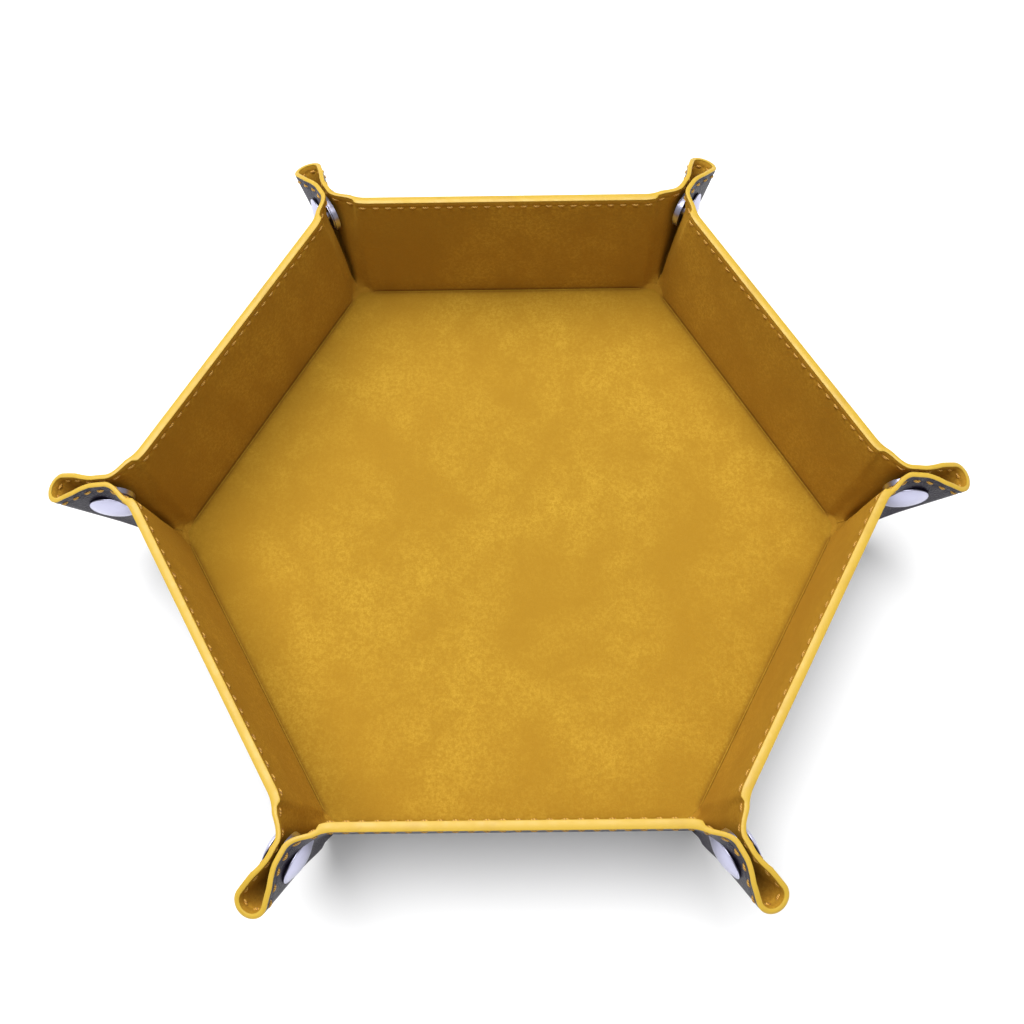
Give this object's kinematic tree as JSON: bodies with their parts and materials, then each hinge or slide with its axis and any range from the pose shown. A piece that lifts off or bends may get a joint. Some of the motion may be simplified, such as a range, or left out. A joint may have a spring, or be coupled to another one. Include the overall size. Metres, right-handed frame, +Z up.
{
  "type": "folding dice tray",
  "caption": "Hexagonal snap-up dice tray: velvet-lined leather sheet with stiff floor and wall panels, walls held up by press studs that pinch an ear at every corner.",
  "frame": {"origin": "centre of the underside of the floor, at table level", "axes": "+X points at a corner of the hexagon, +Y at the middle of a wall, +Z up out of the tray"},
  "size_m": [0.2436, 0.2132, 0.0439],
  "materials": {
    "liner_velvet": "matte",
    "cover_leather": "satin",
    "ear_laminate": "matte",
    "board": "matte",
    "press_stud_metal": "polished"
  },
  "bodies": {
    "floor": {"floor_cover": "cover_leather", "floor_board": "board", "floor_liner": "liner_velvet"},
    "wall_1": {"wall_1_cover": "cover_leather", "wall_1_board": "board", "wall_1_liner": "liner_velvet"},
    "wall_2": {"wall_2_cover": "cover_leather", "wall_2_board": "board", "wall_2_liner": "liner_velvet"},
    "wall_3": {"wall_3_cover": "cover_leather", "wall_3_board": "board", "wall_3_liner": "liner_velvet"},
    "wall_4": {"wall_4_cover": "cover_leather", "wall_4_board": "board", "wall_4_liner": "liner_velvet"},
    "wall_5": {"wall_5_cover": "cover_leather", "wall_5_board": "board", "wall_5_liner": "liner_velvet"},
    "wall_6": {"wall_6_cover": "cover_leather", "wall_6_board": "board", "wall_6_liner": "liner_velvet"},
    "ear_1_left": {"ear_1_left": "ear_laminate", "press_socket_1": "press_stud_metal"},
    "ear_tip_1_left": {"ear_tip_1_left": "ear_laminate"},
    "ear_1_right": {"ear_1_right": "ear_laminate", "press_stud_1": "press_stud_metal"},
    "ear_tip_1_right": {"ear_tip_1_right": "ear_laminate"},
    "ear_2_left": {"ear_2_left": "ear_laminate", "press_socket_2": "press_stud_metal"},
    "ear_tip_2_left": {"ear_tip_2_left": "ear_laminate"},
    "ear_2_right": {"ear_2_right": "ear_laminate", "press_stud_2": "press_stud_metal"},
    "ear_tip_2_right": {"ear_tip_2_right": "ear_laminate"},
    "ear_3_left": {"ear_3_left": "ear_laminate", "press_socket_3": "press_stud_metal"},
    "ear_tip_3_left": {"ear_tip_3_left": "ear_laminate"},
    "ear_3_right": {"ear_3_right": "ear_laminate", "press_stud_3": "press_stud_metal"},
    "ear_tip_3_right": {"ear_tip_3_right": "ear_laminate"},
    "ear_4_left": {"ear_4_left": "ear_laminate", "press_socket_4": "press_stud_metal"},
    "ear_tip_4_left": {"ear_tip_4_left": "ear_laminate"},
    "ear_4_right": {"ear_4_right": "ear_laminate", "press_stud_4": "press_stud_metal"},
    "ear_tip_4_right": {"ear_tip_4_right": "ear_laminate"},
    "ear_5_left": {"ear_5_left": "ear_laminate", "press_socket_5": "press_stud_metal"},
    "ear_tip_5_left": {"ear_tip_5_left": "ear_laminate"},
    "ear_5_right": {"ear_5_right": "ear_laminate", "press_stud_5": "press_stud_metal"},
    "ear_tip_5_right": {"ear_tip_5_right": "ear_laminate"},
    "ear_6_left": {"ear_6_left": "ear_laminate", "press_socket_6": "press_stud_metal"},
    "ear_tip_6_left": {"ear_tip_6_left": "ear_laminate"},
    "ear_6_right": {"ear_6_right": "ear_laminate", "press_stud_6": "press_stud_metal"},
    "ear_tip_6_right": {"ear_tip_6_right": "ear_laminate"}
  },
  "joints": [
    {"name": "fold", "type": "hinge", "parent": "floor", "child": "wall_1", "pos_m": [0.07422, 0.04285, 0.0007], "axis": [-0.5, 0.866, 0], "range_deg": [0, 79]},
    {"name": "wall_2_fold", "type": "hinge", "parent": "floor", "child": "wall_2", "pos_m": [0, 0.0857, 0.0007], "axis": [-1, 0, 0], "range_deg": [0, 79]},
    {"name": "wall_3_fold", "type": "hinge", "parent": "floor", "child": "wall_3", "pos_m": [-0.07422, 0.04285, 0.0007], "axis": [-0.5, -0.866, 0], "range_deg": [0, 79]},
    {"name": "wall_4_fold", "type": "hinge", "parent": "floor", "child": "wall_4", "pos_m": [-0.07422, -0.04285, 0.0007], "axis": [0.5, -0.866, 0], "range_deg": [0, 79]},
    {"name": "wall_5_fold", "type": "hinge", "parent": "floor", "child": "wall_5", "pos_m": [0, -0.0857, 0.0007], "axis": [1, 0, 0], "range_deg": [0, 79]},
    {"name": "wall_6_fold", "type": "hinge", "parent": "floor", "child": "wall_6", "pos_m": [0.07422, -0.04285, 0.0007], "axis": [0.5, 0.866, 0], "range_deg": [0, 79]},
    {"name": "ear_1_left_turn", "type": "hinge", "parent": "wall_1", "child": "ear_1_left", "pos_m": [0.04948, 0.0857, 0.0007], "axis": [0.0529, 0.0305, 0.9981], "range_deg": [0, 54.81]},
    {"name": "ear_tip_1_left_uncurl", "type": "hinge", "parent": "ear_1_left", "child": "ear_tip_1_left", "pos_m": [0.0503, 0.08522, 0.0007], "axis": [-0.2768, -0.4144, -0.867], "range_deg": [0, 82.21]},
    {"name": "ear_1_right_turn", "type": "hinge", "parent": "wall_2", "child": "ear_1_right", "pos_m": [0.04948, 0.0857, 0.0007], "axis": [0, -0.061, -0.9981], "range_deg": [0, 54.81]},
    {"name": "ear_tip_1_right_uncurl", "type": "hinge", "parent": "ear_1_right", "child": "ear_tip_1_right", "pos_m": [0.04866, 0.08618, 0.0007], "axis": [0.2205, 0.4469, 0.867], "range_deg": [0, 82.21]},
    {"name": "ear_2_left_turn", "type": "hinge", "parent": "wall_2", "child": "ear_2_left", "pos_m": [-0.04948, 0.0857, 0.0007], "axis": [0, 0.061, 0.9981], "range_deg": [0, 54.81]},
    {"name": "ear_tip_2_left_uncurl", "type": "hinge", "parent": "ear_2_left", "child": "ear_tip_2_left", "pos_m": [-0.04866, 0.08618, 0.0007], "axis": [0.2205, -0.4469, -0.867], "range_deg": [0, 82.21]},
    {"name": "ear_2_right_turn", "type": "hinge", "parent": "wall_3", "child": "ear_2_right", "pos_m": [-0.04948, 0.0857, 0.0007], "axis": [0.0529, -0.0305, -0.9981], "range_deg": [0, 54.81]},
    {"name": "ear_tip_2_right_uncurl", "type": "hinge", "parent": "ear_2_right", "child": "ear_tip_2_right", "pos_m": [-0.0503, 0.08522, 0.0007], "axis": [-0.2768, 0.4144, 0.867], "range_deg": [0, 82.21]},
    {"name": "ear_3_left_turn", "type": "hinge", "parent": "wall_3", "child": "ear_3_left", "pos_m": [-0.09896, 0, 0.0007], "axis": [-0.0529, 0.0305, 0.9981], "range_deg": [0, 54.81]},
    {"name": "ear_tip_3_left_uncurl", "type": "hinge", "parent": "ear_3_left", "child": "ear_tip_3_left", "pos_m": [-0.09896, 0.00095, 0.0007], "axis": [0.4973, -0.0325, -0.867], "range_deg": [0, 82.21]},
    {"name": "ear_3_right_turn", "type": "hinge", "parent": "wall_4", "child": "ear_3_right", "pos_m": [-0.09896, 0, 0.0007], "axis": [0.0529, 0.0305, -0.9981], "range_deg": [0, 54.81]},
    {"name": "ear_tip_3_right_uncurl", "type": "hinge", "parent": "ear_3_right", "child": "ear_tip_3_right", "pos_m": [-0.09896, -0.00095, 0.0007], "axis": [-0.4973, -0.0325, 0.867], "range_deg": [0, 82.21]},
    {"name": "ear_4_left_turn", "type": "hinge", "parent": "wall_4", "child": "ear_4_left", "pos_m": [-0.04948, -0.0857, 0.0007], "axis": [-0.0529, -0.0305, 0.9981], "range_deg": [0, 54.81]},
    {"name": "ear_tip_4_left_uncurl", "type": "hinge", "parent": "ear_4_left", "child": "ear_tip_4_left", "pos_m": [-0.0503, -0.08522, 0.0007], "axis": [0.2768, 0.4144, -0.867], "range_deg": [0, 82.21]},
    {"name": "ear_4_right_turn", "type": "hinge", "parent": "wall_5", "child": "ear_4_right", "pos_m": [-0.04948, -0.0857, 0.0007], "axis": [0, 0.061, -0.9981], "range_deg": [0, 54.81]},
    {"name": "ear_tip_4_right_uncurl", "type": "hinge", "parent": "ear_4_right", "child": "ear_tip_4_right", "pos_m": [-0.04866, -0.08618, 0.0007], "axis": [-0.2205, -0.4469, 0.867], "range_deg": [0, 82.21]},
    {"name": "ear_5_left_turn", "type": "hinge", "parent": "wall_5", "child": "ear_5_left", "pos_m": [0.04948, -0.0857, 0.0007], "axis": [0, -0.061, 0.9981], "range_deg": [0, 54.81]},
    {"name": "ear_tip_5_left_uncurl", "type": "hinge", "parent": "ear_5_left", "child": "ear_tip_5_left", "pos_m": [0.04866, -0.08618, 0.0007], "axis": [-0.2205, 0.4469, -0.867], "range_deg": [0, 82.21]},
    {"name": "ear_5_right_turn", "type": "hinge", "parent": "wall_6", "child": "ear_5_right", "pos_m": [0.04948, -0.0857, 0.0007], "axis": [-0.0529, 0.0305, -0.9981], "range_deg": [0, 54.81]},
    {"name": "ear_tip_5_right_uncurl", "type": "hinge", "parent": "ear_5_right", "child": "ear_tip_5_right", "pos_m": [0.0503, -0.08522, 0.0007], "axis": [0.2768, -0.4144, 0.867], "range_deg": [0, 82.21]},
    {"name": "ear_6_left_turn", "type": "hinge", "parent": "wall_6", "child": "ear_6_left", "pos_m": [0.09896, 0, 0.0007], "axis": [0.0529, -0.0305, 0.9981], "range_deg": [0, 54.81]},
    {"name": "ear_tip_6_left_uncurl", "type": "hinge", "parent": "ear_6_left", "child": "ear_tip_6_left", "pos_m": [0.09896, -0.00095, 0.0007], "axis": [-0.4973, 0.0325, -0.867], "range_deg": [0, 82.21]},
    {"name": "ear_6_right_turn", "type": "hinge", "parent": "wall_1", "child": "ear_6_right", "pos_m": [0.09896, 0, 0.0007], "axis": [-0.0529, -0.0305, -0.9981], "range_deg": [0, 54.81]},
    {"name": "ear_tip_6_right_uncurl", "type": "hinge", "parent": "ear_6_right", "child": "ear_tip_6_right", "pos_m": [0.09896, 0.00095, 0.0007], "axis": [0.4973, 0.0325, 0.867], "range_deg": [0, 82.21]}
  ],
  "couplings": [
    {"joint": "wall_2_fold", "follows": "fold", "ratio": 1},
    {"joint": "wall_3_fold", "follows": "fold", "ratio": 1},
    {"joint": "wall_4_fold", "follows": "fold", "ratio": 1},
    {"joint": "wall_5_fold", "follows": "fold", "ratio": 1},
    {"joint": "wall_6_fold", "follows": "fold", "ratio": 1},
    {"joint": "ear_1_left_turn", "follows": "fold", "ratio": 0.69364},
    {"joint": "ear_tip_1_left_uncurl", "follows": "fold", "ratio": 1.0405},
    {"joint": "ear_1_right_turn", "follows": "fold", "ratio": 0.69364},
    {"joint": "ear_tip_1_right_uncurl", "follows": "fold", "ratio": 1.0405},
    {"joint": "ear_2_left_turn", "follows": "fold", "ratio": 0.69364},
    {"joint": "ear_tip_2_left_uncurl", "follows": "fold", "ratio": 1.0405},
    {"joint": "ear_2_right_turn", "follows": "fold", "ratio": 0.69364},
    {"joint": "ear_tip_2_right_uncurl", "follows": "fold", "ratio": 1.0405},
    {"joint": "ear_3_left_turn", "follows": "fold", "ratio": 0.69364},
    {"joint": "ear_tip_3_left_uncurl", "follows": "fold", "ratio": 1.0405},
    {"joint": "ear_3_right_turn", "follows": "fold", "ratio": 0.69364},
    {"joint": "ear_tip_3_right_uncurl", "follows": "fold", "ratio": 1.0405},
    {"joint": "ear_4_left_turn", "follows": "fold", "ratio": 0.69364},
    {"joint": "ear_tip_4_left_uncurl", "follows": "fold", "ratio": 1.0405},
    {"joint": "ear_4_right_turn", "follows": "fold", "ratio": 0.69364},
    {"joint": "ear_tip_4_right_uncurl", "follows": "fold", "ratio": 1.0405},
    {"joint": "ear_5_left_turn", "follows": "fold", "ratio": 0.69364},
    {"joint": "ear_tip_5_left_uncurl", "follows": "fold", "ratio": 1.0405},
    {"joint": "ear_5_right_turn", "follows": "fold", "ratio": 0.69364},
    {"joint": "ear_tip_5_right_uncurl", "follows": "fold", "ratio": 1.0405},
    {"joint": "ear_6_left_turn", "follows": "fold", "ratio": 0.69364},
    {"joint": "ear_tip_6_left_uncurl", "follows": "fold", "ratio": 1.0405},
    {"joint": "ear_6_right_turn", "follows": "fold", "ratio": 0.69364},
    {"joint": "ear_tip_6_right_uncurl", "follows": "fold", "ratio": 1.0405}
  ]
}
